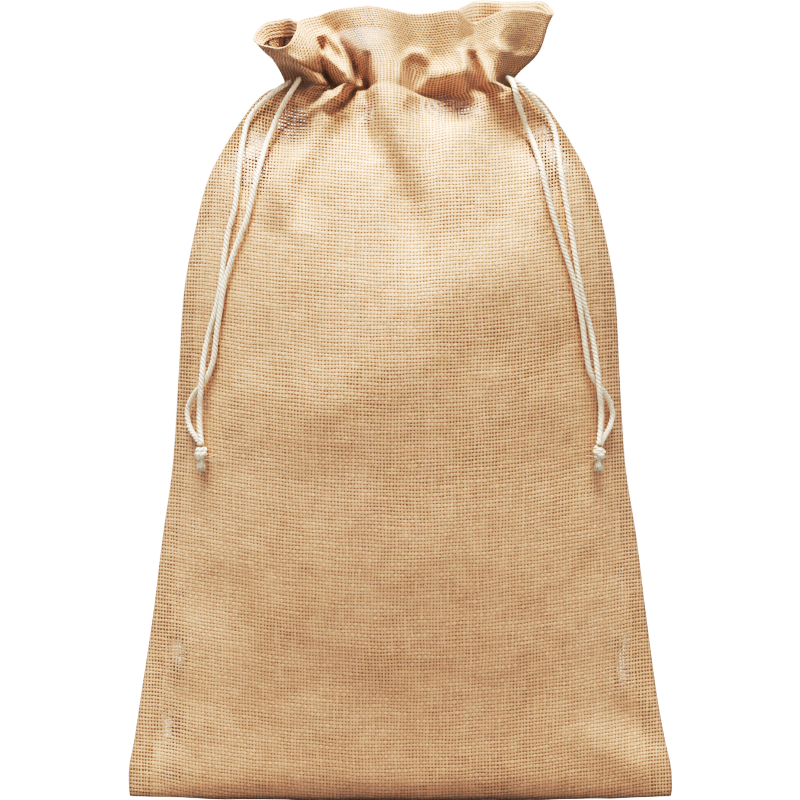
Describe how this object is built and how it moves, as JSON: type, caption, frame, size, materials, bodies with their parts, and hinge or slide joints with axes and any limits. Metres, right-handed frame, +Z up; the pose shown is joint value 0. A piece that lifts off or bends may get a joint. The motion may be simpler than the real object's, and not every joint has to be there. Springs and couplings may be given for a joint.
{
  "type": "burlap sack",
  "caption": "Upright drawstring sack of coarse burlap, standing open inside, with a gathered neck, a flared ruffle and knotted cotton cords hanging at each side.",
  "frame": {"origin": "middle of the base, on the surface it stands on", "axes": "+Z up, -Y towards the front, +X towards the right as seen from the front"},
  "size_m": [0.3014, 0.1583, 0.4434],
  "materials": {
    "burlap": "coarse matte weave",
    "cotton": "matte twisted cotton"
  },
  "bodies": {
    "root": {"sack": "burlap", "cord_left_inner": "cotton", "cord_left_outer": "cotton", "cord_right_inner": "cotton", "cord_right_outer": "cotton", "knot_left": "cotton", "knot_right": "cotton"}
  },
  "joints": []
}
